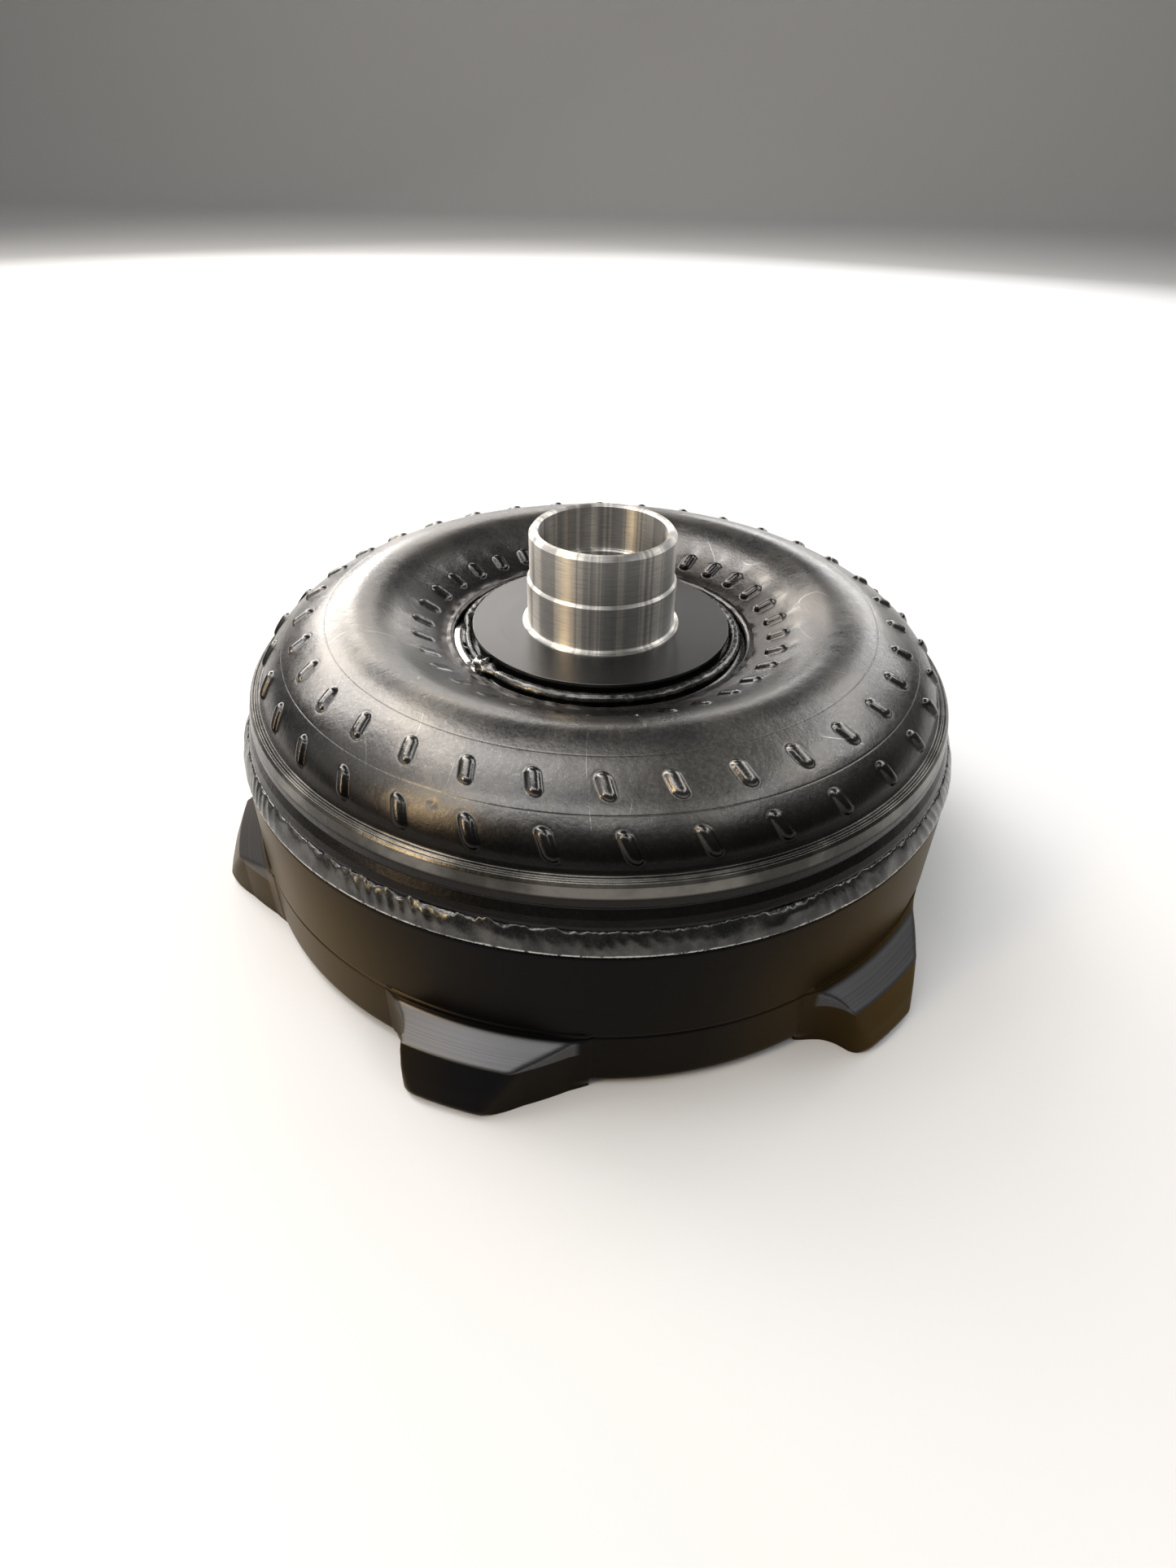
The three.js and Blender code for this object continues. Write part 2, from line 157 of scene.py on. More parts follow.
def skin(name, grid, ring=True):
    """A closed mesh from rows of points that each go once round the axis. With ring the last row
    meets the first; without, the first and the last row close on a point of the axis."""
    rows, columns = grid.shape[:2]
    verts = grid.reshape(-1, 3)
    index = np.arange(rows * columns).reshape(rows, columns)
    low = index if ring else index[:-1]
    high = np.roll(index, -1, 0) if ring else index[1:]
    faces = [np.stack([low, np.roll(low, -1, 1), np.roll(high, -1, 1), high], -1).reshape(-1, 4)]
    if not ring:
        poles = [[0, 0, grid[0, 0, 2]], [0, 0, grid[-1, 0, 2]]]
        verts = np.vstack([verts, poles])
        first, last = index[0], index[-1]
        south = np.full(columns, rows * columns)
        faces.append(np.stack([south, np.roll(first, -1), first], -1))
        faces.append(np.stack([south + 1, last, np.roll(last, -1)], -1))
    corners = verts[faces[0][:, [0, 1, 2]]]
    if np.einsum("ij,ij->", corners[:, 0], np.cross(corners[:, 1], corners[:, 2])) < 0:
        faces = [f[:, ::-1] for f in faces]
    mesh = bpy.data.meshes.new(name)
    mesh.vertices.add(len(verts))
    mesh.vertices.foreach_set("co", (verts * MM).astype(np.float32).ravel())
    loops = np.concatenate([f.ravel() for f in faces])
    sizes = np.concatenate([np.full(len(f), f.shape[1]) for f in faces])
    mesh.loops.add(len(loops))
    mesh.loops.foreach_set("vertex_index", loops.astype(np.int32))
    mesh.polygons.add(len(sizes))
    mesh.polygons.foreach_set("loop_start", (np.cumsum(sizes) - sizes).astype(np.int32))
    mesh.update(calc_edges=True)
    mesh.validate()
    mesh.shade_smooth()
    piece = bpy.data.objects.new(name, mesh)
    bpy.context.scene.collection.objects.link(piece)
    return piece


def lathe(name, outline, columns=256, ring=True):
    angles = np.arange(columns) * 2 * math.pi / columns
    return skin(name, around(outline[:, :1], outline[:, 1:], angles[None]), ring)


def show(piece, material, node):
    """Puts the piece in the place of a node of the welded housing."""
    piece.data.materials.append(material)
    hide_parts(node)
    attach(piece, "housing")


class Ripple:
    """Smooth seeded noise on a band that closes round the axis: a sum of waves."""

    def __init__(self, seed, waves, around_range, across_range):
        rng = np.random.default_rng(seed)
        self.turns = rng.integers(*around_range, waves)
        self.across = rng.uniform(*across_range, waves) * rng.choice([-1, 1], waves)
        self.phase = rng.uniform(0, 2 * math.pi, waves)

    def __call__(self, angle, across):
        total = 0
        for turns, rate, phase in zip(self.turns, self.across, self.phase):
            total = total + np.cos(turns * angle + rate * across + phase)
        return total / math.sqrt(len(self.turns) / 2)


# ---------------------------------------------------------------- materials


class Finish:
    """A Principled material, with short ways to chain texture nodes in millimetres."""

    def __init__(self, name, color, roughness, metallic=1.0, **sockets):
        self.material = bpy.data.materials.new(name)
        self.material.use_nodes = True
        self.tree = self.material.node_tree
        self.shader = self.tree.nodes["Principled BSDF"]
        self.set("Base Color", (*color, 1))
        self.set("Roughness", roughness)
        self.set("Metallic", metallic)
        for socket, value in sockets.items():
            self.set(socket.replace("_", " "), value)
        place = self.node("ShaderNodeTexCoord")
        scale = self.node("ShaderNodeVectorMath", operation="SCALE")
        scale.inputs["Scale"].default_value = 1000
        self.link(place.outputs["Object"], scale.inputs[0])
        self.place = scale.outputs[0]

    def set(self, socket, value):
        self.shader.inputs[socket].default_value = value

    def node(self, kind, **settings):
        made = self.tree.nodes.new(kind)
        for key, value in settings.items():
            setattr(made, key, value)
        return made

    def link(self, source, target):
        self.tree.links.new(source, target)

    def math(self, operation, a, b=0.5, c=0.0, clamp=False):
        made = self.node("ShaderNodeMath", operation=operation, use_clamp=clamp)
        for i, value in enumerate((a, b, c)):
            if isinstance(value, (int, float)):
                made.inputs[i].default_value = value
            else:
                self.link(value, made.inputs[i])
        return made.outputs[0]

    def polar(self):
        """Radius, angle in radians and height as separate values. Keeps x and y too."""
        split = self.node("ShaderNodeSeparateXYZ")
        self.link(self.place, split.inputs[0])
        x, y, z = split.outputs
        self.x, self.y = x, y
        square = self.math("ADD", self.math("MULTIPLY", x, x), self.math("MULTIPLY", y, y))
        return self.math("SQRT", square), self.math("ARCTAN2", y, x), z

    def scaled(self, *pairs):
        """A vector of values, each times its own factor."""
        return self.vector(*(self.math("MULTIPLY", value, factor) for value, factor in pairs))

    def vector(self, x=0.0, y=0.0, z=0.0):
        made = self.node("ShaderNodeCombineXYZ")
        for i, value in enumerate((x, y, z)):
            if isinstance(value, (int, float)):
                made.inputs[i].default_value = value
            else:
                self.link(value, made.inputs[i])
        return made.outputs[0]

    def noise(self, size, detail=3.0, rough=0.5, place=None, stretch=(1, 1, 1)):
        """Noise between 0 and 1 whose blobs are about size millimetres."""
        mapping = self.node("ShaderNodeMapping")
        mapping.inputs["Scale"].default_value = [s / size for s in stretch]
        self.link(place or self.place, mapping.inputs[0])
        made = self.node("ShaderNodeTexNoise")
        made.inputs["Scale"].default_value = 1
        made.inputs["Detail"].default_value = detail
        made.inputs["Roughness"].default_value = rough
        self.link(mapping.outputs[0], made.inputs["Vector"])
        return made.outputs[0]

    def between(self, value, low, high, out_low=0.0, out_high=1.0):
        """value's stretch from low to high, turned into out_low to out_high, smooth and clamped."""
        made = self.node("ShaderNodeMapRange", interpolation_type="SMOOTHSTEP")
        self.link(value, made.inputs["Value"])
        made.inputs["From Min"].default_value = low
        made.inputs["From Max"].default_value = high
        made.inputs["To Min"].default_value = out_low
        made.inputs["To Max"].default_value = out_high
        return made.outputs[0]

    def mix(self, share, a, b):
        """Colours or values a and b mixed by share."""
        made = self.node("ShaderNodeMix", data_type="RGBA")
        self.link(share, made.inputs["Factor"])
        for socket, value in (("A", a), ("B", b)):
            target = [s for s in made.inputs if s.name == socket and s.type == "RGBA"][0]
            if isinstance(value, (tuple, list)):
                target.default_value = (*value, 1)
            elif isinstance(value, (int, float)):
                target.default_value = (value, value, value, 1)
            else:
                self.link(value, target)
        return [s for s in made.outputs if s.type == "RGBA"][0]

    def color(self, source):
        self.link(source, self.shader.inputs["Base Color"])

    def roughness(self, source):
        self.link(source, self.shader.inputs["Roughness"])

    def bump(self, height, depth_mm):
        """Adds a bump of that depth to the ones already there."""
        made = self.node("ShaderNodeBump")
        made.inputs["Strength"].default_value = 1.0
        made.inputs["Distance"].default_value = depth_mm * MM
        self.link(height, made.inputs["Height"])
        normal = self.shader.inputs["Normal"]
        if normal.links:
            self.link(normal.links[0].from_socket, made.inputs["Normal"])
        self.link(made.outputs[0], normal)

    def turned(self):
        """Highlights run round the axis, as on a part cut on a lathe."""
        tangent = self.node("ShaderNodeTangent", direction_type="RADIAL", axis="Z")
        self.link(tangent.outputs[0], self.shader.inputs["Tangent"])


def scratches(f, size, width, share, seed):
    """Thin winding lines, broken up so that only about that share of them is left."""
    shifted = f.node("ShaderNodeVectorMath", operation="ADD")
    f.link(f.place, shifted.inputs[0])
    shifted.inputs[1].default_value = (seed, 2 * seed, 3 * seed)
    place = shifted.outputs[0]
    field = f.noise(size, 0, 0.5, place, (1, 0.35, 0.6))
    line = f.between(f.math("ABSOLUTE", f.math("SUBTRACT", field, 0.5)), width, 0)
    left = f.between(f.noise(size * 0.6, 2, 0.6, place), 1 - share, 1.06 - share)
    return f.math("MULTIPLY", line, left)


SCUFF_X = 89
SCUFF_Y = 33
PAINTED_SHADE_HEIGHTS = (94, 84)  # heights between which the painted shade grows darker, going down
RIDGE_BOTTOM = (75.0, 75.8)
RIDGE_TOP = (79.4, 80.2)


def scuff_patch(f):
    """Hatched wear in a round patch on the crest, to the right of the hub."""
    beside = f.math("POWER", f.math("SUBTRACT", f.x, SCUFF_X), 2)
    behind = f.math("POWER", f.math("SUBTRACT", f.y, SCUFF_Y), 2)
    away = f.math("SQRT", f.math("ADD", beside, behind))
    hatch = f.noise(1, 2, 0.6, stretch=(0.5, 2.2, 1))
    return f.math("MULTIPLY", f.between(away, 8, 4), f.between(hatch, 0.5, 0.62))


def shell_paint():
    f = Finish("shell_paint", (0.10, 0.096, 0.092), 0.33, 1.0)
    radius, _, height = f.polar()
    patches = f.noise(38, 4, 0.6)
    speckle = f.noise(0.5, 2, 0.6)
    grain = f.noise(1.1, 3, 0.6)
    dark, warm = (0.078, 0.076, 0.075), (0.122, 0.115, 0.105)
    speck, scratched, scuffed = (0.26, 0.245, 0.225), (0.30, 0.29, 0.27), (0.34, 0.33, 0.31)
    painted_shade_tone, valley_shade_tone = (0.012, 0.0108, 0.0105), (0.035, 0.031, 0.030)
    tone = f.mix(f.between(patches, 0.35, 0.68), dark, warm)
    tone = f.mix(f.between(speckle, 0.62, 0.72, 0, 0.45), tone, speck)
    long_ones, short_ones = scratches(f, 31, 0.0022, 0.5, 17), scratches(f, 23, 0.0016, 0.45, 53)
    worn = f.math("ADD", long_ones, short_ones, clamp=True)
    tone = f.mix(f.math("MULTIPLY", worn, 0.6), tone, scratched)
    tone = f.mix(f.math("MULTIPLY", scuff_patch(f), 0.6), tone, scuffed)
    # Painted shade makes the paint darker low on the dome and on the skirt, and a painted highlight makes
    # it lighter on the ridge.
    outside = f.between(radius, 100, 112)
    low = f.math("MULTIPLY", f.between(height, *PAINTED_SHADE_HEIGHTS), outside)
    tone = f.mix(f.math("MULTIPLY", low, 0.9), tone, painted_shade_tone)
    # Painted highlight along the ridge of the band.
    ridge = f.math("MULTIPLY", f.between(height, *RIDGE_BOTTOM), f.between(height, *RIDGE_TOP[::-1]))
    painted_ridge_highlight = f.mix(f.between(patches, 0.4, 0.6), (0.05, 0.048, 0.044), (0.17, 0.162, 0.148))
    tone = f.mix(f.math("MULTIPLY", ridge, outside), tone, painted_ridge_highlight)
    # Painted shade darkens the paint in patches in the valley round the lip.
    painted_valley_shade = f.math("MULTIPLY", f.between(radius, 73, 59), f.between(patches, 0.25, 0.6, 0.55, 0.85))
    f.color(f.mix(painted_valley_shade, tone, valley_shade_tone))
    # The pressed bumps are glossier than the paint around them.
    bumps = f.node("ShaderNodeAttribute", attribute_name="bump").outputs["Fac"]
    rough = f.math("ADD", f.between(patches, 0.3, 0.7, 0.24, 0.31), f.between(grain, 0.3, 0.8, 0, 0.09))
    f.roughness(f.math("SUBTRACT", rough, f.math("MULTIPLY", bumps, 0.10)))
    f.bump(grain, 0.055)
    f.bump(f.noise(7, 2), 0.14)
    return f


RAMP_R = (130.2, 130.9)  # the machined ramps of the lugs start here
RAMP_BOTTOM = (16.6, 17.2)
RAMP_TOP = (23.6, 24.5)


def cover_black():
    f = Finish("cover_black", (0.03, 0.027, 0.023), 0.3, 1.0)
    radius, angle, height = f.polar()
    patches = f.noise(90, 2, 0.4)
    rings = f.noise(1, 2, 0.6, f.scaled((radius, 3.2), (angle, 0.6), (height, 3.2)))
    black, painted_reflection_brown = (0.0075, 0.0074, 0.0082), (0.050, 0.031, 0.0095)
    # A painted brown reflection lies over the black low down on both sides, and fades out at their far
    # ends.
    across = f.math("ABSOLUTE", f.math("MULTIPLY", radius, f.math("COSINE", angle)))
    side = f.math("MULTIPLY", f.between(across, 30, 100), f.between(across, 128, 114, 0.25, 1))
    painted_reflection_share = f.math("MULTIPLY", side, f.between(height, 62, 30, 0.25, 1))
    painted_reflection_share = f.math("MULTIPLY", painted_reflection_share, f.between(patches, 0.3, 0.65, 0.5, 1))
    wall = f.mix(painted_reflection_share, black, painted_reflection_brown)
    f.set("Specular Tint", (0.78, 0.72, 0.64, 1))
    band = f.math("MULTIPLY", f.between(height, *RAMP_BOTTOM), f.between(height, *RAMP_TOP[::-1]))
    on_ramp = f.math("MULTIPLY", f.between(radius, *RAMP_R), band, clamp=True)
    ramp = f.mix(rings, (0.04, 0.04, 0.042), (0.12, 0.12, 0.125))
    f.color(f.mix(on_ramp, wall, ramp))
    f.roughness(f.math("ADD", f.between(patches, 0.3, 0.7, 0.30, 0.36), f.math("MULTIPLY", on_ramp, 0.05)))
    f.bump(rings, 0.012)
    f.bump(f.noise(0.5, 2), 0.006)
    return f


BARE_LIP_ANGLE = math.radians(-163)


def weld_bead():
    f = Finish("weld_bead", (0.05, 0.05, 0.05), 0.24, 1.0)
    radius, angle, height = f.polar()
    fine, blotch = f.noise(0.8, 3, 0.5), f.noise(6, 3, 0.5)
    dark, light, bright = (0.045, 0.045, 0.0445), (0.095, 0.093, 0.09), (0.62, 0.61, 0.59)
    tone = f.mix(f.between(blotch, 0.35, 0.7), dark, light)
    # Bare bright metal shows in flecks where the bead meets the cover's rim.
    foot = f.math("MULTIPLY", f.between(height, 59.3, 58.6), f.between(f.noise(2.2, 3, 0.7), 0.40, 0.5))
    rim = f.math("MULTIPLY", foot, f.between(radius, 100, 110))
    # The lip is bare steel behind the start of the hub bead.
    toward = f.math("COSINE", f.math("SUBTRACT", angle, BARE_LIP_ANGLE))
    bare = f.math("MULTIPLY", f.between(toward, 0.90, 0.955), f.between(radius, 50.2, 50.9))
    bare = f.math("MULTIPLY", bare, f.between(radius, 60, 58))
    f.color(f.mix(f.math("MAXIMUM", rim, bare), tone, bright))
    f.roughness(f.between(fine, 0.3, 0.75, 0.20, 0.34))
    f.bump(fine, 0.02)
    f.bump(blotch, 0.08)
    return f


def turned_steel():
    f = Finish("turned_steel", (0.48, 0.46, 0.42), 0.42, 1.0, Anisotropic=0.9, Anisotropic_Rotation=0.25)
    f.turned()
    radius, angle, height = f.polar()
    lines = f.noise(1, 3, 0.7, f.scaled((radius, 4), (angle, 3), (height, 4)))
    # Painted reflections: light and dim streaks that run up the hub, changing only round it.
    round_it = f.vector(f.math("COSINE", angle), f.math("SINE", angle), 0.0)
    painted_reflection_streaks = f.noise(1, 3, 0.6, round_it, (5, 5, 1))
    f.set("Specular Tint", (0.85, 0.84, 0.82, 1))
    light, dim, groove = (0.62, 0.59, 0.54), (0.36, 0.35, 0.335), (0.15, 0.147, 0.14)
    tone = f.mix(f.between(painted_reflection_streaks, 0.46, 0.54), dim, light)
    f.color(f.mix(f.between(lines, 0.45, 0.62, 0, 0.35), tone, groove))
    f.roughness(f.between(lines, 0.3, 0.7, 0.36, 0.44))
    f.bump(lines, 0.006)
    return f


def flange_steel():
    f = Finish("flange_steel", (0.16, 0.158, 0.155), 0.34, 1.0)
    radius, angle, _ = f.polar()
    lines = f.noise(1, 2, 0.6, f.scaled((radius, 5), (angle, 0.6)))
    f.color(f.mix(lines, (0.075, 0.075, 0.075), (0.10, 0.099, 0.098)))
    f.roughness(f.between(lines, 0.3, 0.7, 0.28, 0.36))
    f.bump(lines, 0.006)
    return f


def plain_metal(name, color, roughness, grain=0.8, depth=0.02, spread=0.18):
    """Pressed, ground, cast and spring metals of the inside: grain, patches and a light bump."""
    f = Finish(name, color, roughness)
    patches, fine = f.noise(14, 3, 0.6), f.noise(grain, 3, 0.6)
    dark = tuple(c * (1 - spread) for c in color)
    light = tuple(min(1, c * (1 + spread)) for c in color)
    f.color(f.mix(patches, dark, light))
    f.roughness(f.between(fine, 0.3, 0.7, roughness * 0.8, roughness * 1.25))
    f.bump(fine, depth)
    return f


def friction_paper():
    f = Finish("friction_paper", (0.16, 0.10, 0.055), 0.9, 0.0)
    fibres = f.noise(0.5, 4, 0.7, stretch=(1, 3, 1))
    f.color(f.mix(fibres, (0.10, 0.06, 0.032), (0.22, 0.145, 0.085)))
    f.bump(fibres, 0.06)
    return f


def seal_polymer():
    f = Finish("seal_polymer", (0.03, 0.03, 0.035), 0.45, 0.0)
    fine = f.noise(0.6, 2)
    f.color(f.mix(fine, (0.022, 0.022, 0.026), (0.042, 0.042, 0.048)))
    f.roughness(f.between(fine, 0.3, 0.7, 0.38, 0.55))
    f.bump(fine, 0.01)
    return f


finishes = {
    "shell_paint": shell_paint(),
    "cover_black": cover_black(),
    "weld_bead": weld_bead(),
    "turned_steel": turned_steel(),
    "raw_steel": plain_metal("raw_steel", (0.42, 0.42, 0.43), 0.35),
    "hard_steel": plain_metal("hard_steel", (0.55, 0.56, 0.58), 0.2, 0.6, 0.006, 0.08),
    "spring_steel": plain_metal("spring_steel", (0.20, 0.21, 0.23), 0.3, 0.5, 0.015),
    "cast_aluminium": plain_metal("cast_aluminium", (0.62, 0.63, 0.64), 0.45, 1.2, 0.08, 0.1),
    "friction_paper": friction_paper(),
    "seal_polymer": seal_polymer(),
}
flange_finish = flange_steel()

slot_of = {s["node"]: s["material_slot"] for s in frame["record"]["subparts"]}
for node, piece in frame["nodes"].items():
    piece.data.materials.clear()
    piece.data.materials.append(finishes[slot_of[node]].material)

# ---------------------------------------------------------------- impeller shell

BUMP_COUNT = 34
PITCH = 2 * math.pi / BUMP_COUNT
# Each row of bumps, the inner ring first: radius, height, angle of the first one in degrees, half
# the length between the end centres, half the width and rise.
BUMP_ROWS = [
    (63.4, 92.9, 3.78, 2.0, 2.3, 1.7),
    (104.4, 97.8, 6.78, 2.0, 2.35, 1.25),
    (116.8, 86.6, 9.80, 2.3, 2.3, 1.35),
]
NICK_R = 113.6
NICK_ANGLE = math.radians(-112.6)
INNER_DENT = 5.2  # from the inner bumps out to the dents beside them
INNER_ROW_END = 70.0  # rows of bumps inside this radius belong to the inner ring
INNER_DEEP_SIDE = math.radians(40)
SCRIBED = ((95.5, 0.05), (111.0, 0.07))  # radius and depth
SCRIBED_HALF_WIDTH = 0.24

# Spacing of the rows of points along the dome's line.
DOME_STEP = 1.3
BUMP_STEP = 0.32
SCRIBED_STEPS = (-0.55, -0.25, -0.12, 0, 0.12, 0.25, 0.55)
BUMP_SECTOR = 1.75  # degrees on each side of a bump with columns close together

BAND = [
    (122.4, 50), (122.4, 57), (124.6, 60), (126.2, 63.5, 2), (126.2, 66.4, 1.5), (125.3, 68.6, 1.2),
    (123.4, 71.5, 0.9), (124.5, 72.4, 0.8), (124.4, 74.6, 1.2), (123.5, 78.6, 0.9), (122.6, 79.7, 0.4),
    (121.9, 79.1, 0.3), (121.2, 79.8, 0.4), (120.1, 79.4, 0.4), (119.4, 81.0, 0.6), (119.1, 81.8),
]
DOME = [
    (119.1, 81.8), (118.3, 83.9), (116.7, 86.6), (114.7, 89.1), (112.1, 91.6), (108.8, 94.2),
    (104.1, 97.0), (99.2, 99.4), (95.5, 100.8), (90.5, 102.2), (85.1, 102.8), (80, 102.0),
    (74.8, 99.8), (69.4, 96.5), (65.8, 94.3), (62.2, 92.3), (59, 90.7), (56.4, 89.7),
]
LIP = [(56.4, 89.7), (55.2, 89.6, 0.5), (53.6, 89.9, 0.6), (52.7, 89.1, 0.5), (52.8, 86.6, 0.5)]
INSIDE = [
    (57, 86.2), (64.8, 90.2), (75.9, 96.7), (85, 99.5), (94.4, 97.6), (102.3, 94), (109.8, 89.1),
    (113.7, 84.8), (116.3, 80.2), (119.5, 72.5), (121, 66), (119.2, 58), (119.2, 50),
]


def lengths_along(line):
    return np.concatenate([[0], np.cumsum(np.linalg.norm(np.diff(line, axis=0), axis=1))])


def place_at(dome, gone, radius):
    """How far along the dome's line that radius is reached."""
    return gone[np.argmin(np.abs(dome[:, 0] - radius))]


def dome_places(dome, gone, bump_places):
    """Places along the dome's line, close together across the bumps and the scribed lines."""
    places = list(np.arange(0, gone[-1], DOME_STEP))
    for place, row in zip(bump_places, BUMP_ROWS):
        reach = row[3] + row[4] + 1.0
        places = [p for p in places if abs(p - place) > reach]
        places += list(np.arange(place - reach, place + reach, BUMP_STEP))
    for radius, _ in SCRIBED:
        place = place_at(dome, gone, radius)
        places = [p for p in places if abs(p - place) > 0.6]
        places += list(place + np.array(SCRIBED_STEPS))
    return np.array(sorted(p for p in places if 0 <= p < gone[-1] - 0.2))


def line_normals(line):
    tangent = np.gradient(line, axis=0)
    tangent /= np.linalg.norm(tangent, axis=1, keepdims=True)
    normal = np.stack([-tangent[:, 1], tangent[:, 0]], -1)
    return -normal if normal[len(normal) // 2, 1] < 0 else normal


def bump_columns():
    """Each column's angle before the blades' lean, and its angle from its own bump."""
    dense = np.linspace(-1, 1, 15) * BUMP_SECTOR
    sparse = np.linspace(BUMP_SECTOR, math.degrees(PITCH) - BUMP_SECTOR, 12)[1:-1]
    phase = np.radians(np.concatenate([dense, sparse]))
    phase = (np.arange(BUMP_COUNT)[:, None] * PITCH + phase[None]).ravel()
    return phase, (phase + PITCH / 2) % PITCH - PITCH / 2


def bump_relief(places, bump_places, radius, phase, local):
    """How far the bumps raise each point, and how far inside a bump it lies, from 0 to 1."""
    rise = np.zeros((len(places), len(phase)))
    inside = np.zeros_like(rise)
    number = np.round((phase - local) / PITCH).astype(int) % BUMP_COUNT
    rng = np.random.default_rng(11)
    for place, row in zip(bump_places, BUMP_ROWS):
        half, width, height = row[3:]
        jitter = rng.normal(0, 1, (4, BUMP_COUNT))
        along = places[:, None] - place - 0.12 * jitter[0][number]
        sideways = radius * local[None] - 0.1 * jitter[1][number]
        reach = np.hypot(sideways, np.maximum(np.abs(along) - half, 0))
        reach = reach / (width * (1 + 0.02 * jitter[2][number]))
        body = np.maximum(0, 1 - reach**2.4) ** 0.7
        moat = np.exp(-(((reach - 1.16) / 0.16) ** 2))
        height = height * (1 + 0.05 * jitter[3][number])
        if row[0] < INNER_ROW_END:
            # The tool went deep on the right-hand half and only just marked the front.
            height = height * (0.62 + 0.48 * np.cos(phase - INNER_DEEP_SIDE))
        rise += height * body - 0.06 * moat
        inside = np.maximum(inside, body)
    return rise, inside


def inner_dents(places, inner_place, radius, phase, local):
    """A shallow dent beside each bump of the inner ring, on its outer side."""
    along = places[:, None] - (inner_place - INNER_DENT)
    sideways = radius * (local[None] - PITCH * 0.06)
    dent = np.exp(-((along / 2.6) ** 2) - (sideways / 2.6) ** 2)
    return 0.45 * dent * (0.6 + 0.4 * np.cos(phase - INNER_DEEP_SIDE))


def nick(places, nick_place, angle):
    """A curved nick from handling, between two bumps of the outer rows."""
    along = (places[:, None] - nick_place) / 1.3
    sideways = NICK_R * ((angle - NICK_ANGLE + math.pi) % (2 * math.pi) - math.pi)
    return 0.5 * np.exp(-(along**2) - ((sideways - 0.9 * along**2) / 0.55) ** 2)


def make_shell():
    dome = curve(DOME, 0.4)
    gone = lengths_along(dome)
    bump_places = [gone[np.argmin(np.hypot(*(dome - row[:2]).T))] for row in BUMP_ROWS]
    places = dome_places(dome, gone, bump_places)
    line = np.stack([np.interp(places, gone, dome[:, i]) for i in (0, 1)], -1)
    normal = line_normals(line)
    for radius, depth in SCRIBED:
        away = np.abs(places - place_at(dome, gone, radius))
        line -= normal * depth * np.maximum(0, 1 - away / SCRIBED_HALF_WIDTH)[:, None]

    # Columns lean with the blades, so that each blade's three bumps lie on the same columns.
    lean = np.polyval(np.polyfit(np.array(bump_places), [r[2] for r in BUMP_ROWS], 2), places)
    phase, local = bump_columns()
    angle = phase[None] + np.radians(lean)[:, None]
    rise, bump = bump_relief(places, bump_places, line[:, :1], phase, local)
    rise -= inner_dents(places, bump_places[0], line[:, :1], phase, local)
    rise -= nick(places, place_at(dome, gone, NICK_R), angle)
    rise += 0.05 * Ripple(3, 12, (2, 9), (0.01, 0.05))(phase[None], places[:, None])
    dome_rows = around(line[:, :1] + normal[:, :1] * rise, line[:, 1:] + normal[:, 1:] * rise, angle)

    band = rounded(BAND, steps=4)[:-1]
    band_rows = around(band[:, :1], band[:, 1:], phase[None] + np.radians(lean[0]))
    lip = rounded(LIP, steps=4)[1:]
    spatter = Ripple(5, 30, (6, 60), (0.2, 2.5))
    share = np.linspace(0, 1, len(lip))[:, None]
    rough = 0.06 * np.sin(math.pi * share) * spatter(phase[None], lip[:, 1:] * 2)
    lip_rows = around(lip[:, :1], lip[:, 1:] + rough, phase[None] + np.radians(lean[-1]))
    inside = curve(INSIDE, 6)
    lean_back = np.radians(np.linspace(lean[-1], lean[0], len(inside)))[:, None]
    inside_rows = around(inside[:, :1], inside[:, 1:], phase[None] + lean_back)
    grid = np.concatenate([band_rows, dome_rows, lip_rows, inside_rows])
    shell = skin("dimpled_shell", grid)
    marks = np.zeros(grid.shape[:2], np.float32)
    marks[len(band_rows):len(band_rows) + len(bump)] = np.clip(bump * 3, 0, 1)
    shell.data.attributes.new("bump", "FLOAT", "POINT").data.foreach_set("value", marks.ravel())
    return shell


show(make_shell(), finishes["shell_paint"].material, "impeller_shell")

# ---------------------------------------------------------------- front cover

LUG_COUNT = 6
FIRST_LUG = math.radians(15)
BOLT_CIRCLE_R = 131.5
# Plan of one lug, X outward along the lug: the steep bowed flank, then the straight one.
STEEP_FLANK = [
    (124.6, -30.6), (126.5, -28.5), (129, -25.5), (131.6, -23.2), (135.3, -21.6), (138.8, -21.1),
    (141.4, -20.1), (144, -17.6), (147, -13.5),
]
STRAIGHT_FLANK = [(150.5, -1), (143.9, 8.1), (137, 17.1), (128.1, 28.7), (124.4, 34)]
LUG_PROFILE = [
    (129.2, 30), (129.2, 23.5, 3.2), (139.7, 17.1, 1.7), (143.4, 8.6, 8), (146.4, 0.0, 3.6), (138, 0.0),
]
WALL_PROFILE = [
    (122, 1), (129.4, 1, 4), (129.3, 22.9), (129.25, 23.3, 0.15), (128.6, 23.8, 0.15), (129.25, 24.3, 0.15),
    (129.4, 24.7), (129.1, 57.0), (128.7, 57.9, 0.3), (128.2, 58),
]


FLOOR_PROFILE = [
    (110.2, 1, 0.8), (102, 9, 4), (80, 9.4), (30, 9.9), (22.5, 10, 0.6), (22.5, 9.9), (12.3, 9.9, 0.3),
    (12.3, 14.2), (5, 14.2),
]
BORE_PROFILE = [
    (5, 17.5), (117, 17.5), (121.4, 17.5, 4), (121.4, 47.8), (122.8, 49), (122.8, 58, 0.2), (127.6, 58),
]
DRILL_PROFILE = [(0.4, -3), (5.3, -3), (5.3, -0.01), (4.25, 1.05), (4.25, 14), (0.4, 16)]
RIM_LIFT = 1.0  # the rim between the lugs ends this far above their pads
PAD_INNER_R = 111.5
LUG_TOP = 27.5


